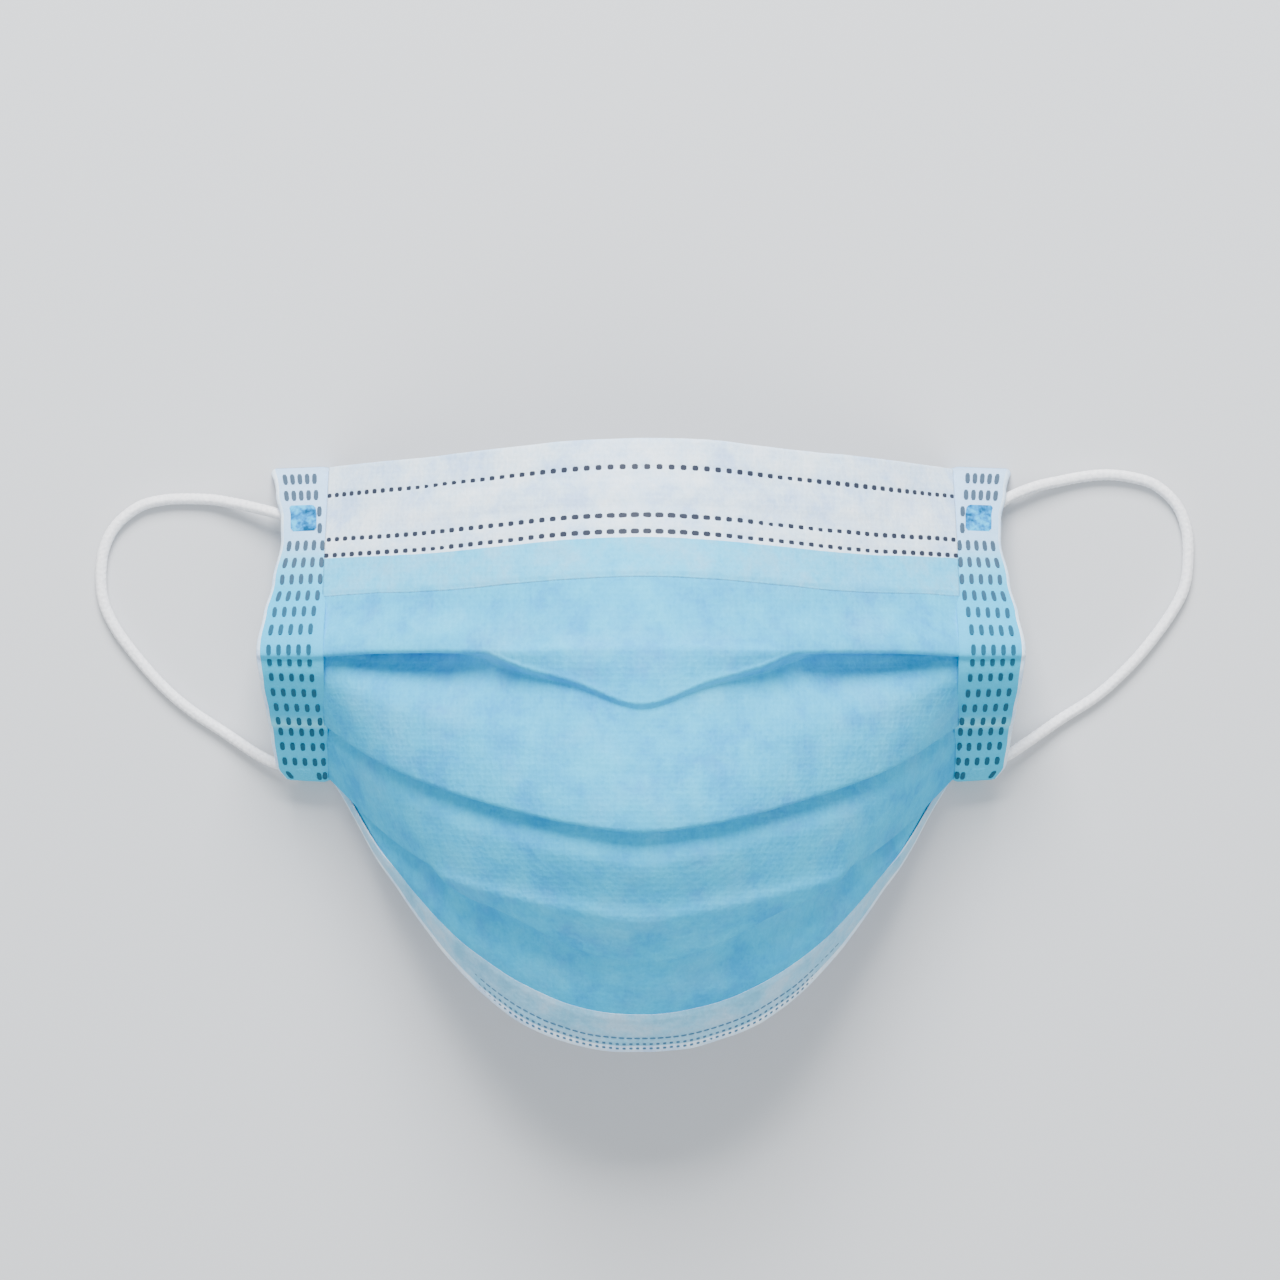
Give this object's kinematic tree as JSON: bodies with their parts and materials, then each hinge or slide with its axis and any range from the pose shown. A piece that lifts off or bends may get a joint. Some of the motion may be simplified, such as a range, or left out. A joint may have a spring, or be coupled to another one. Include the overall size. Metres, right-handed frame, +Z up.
{
  "type": "surgical face mask",
  "caption": "pleated disposable face mask with welded top, bottom and side bindings and two round elastic ear loops, opened as worn and lying outer face up",
  "frame": {"origin": "centre of the mask's outline seen from above, without the ear loops, on the surface that it lies on", "axes": "+X runs across the mask to the viewer's right, +Y from the chin edge to the nose edge, +Z up from the surface through the outer face"},
  "size_m": [0.2172, 0.1173, 0.0656],
  "materials": {
    "filter_cloth": "matte nonwoven",
    "white_ply": "matte nonwoven",
    "hem_ply": "matte nonwoven",
    "side_tape": "matte nonwoven",
    "elastic": "matte knitted elastic"
  },
  "bodies": {
    "root": {"pleated_panel": "filter_cloth", "top_binding": "white_ply", "bottom_binding": "hem_ply", "side_binding_left": "side_tape", "side_binding_right": "side_tape", "ear_loop_left": "elastic", "ear_loop_right": "elastic"}
  },
  "joints": []
}
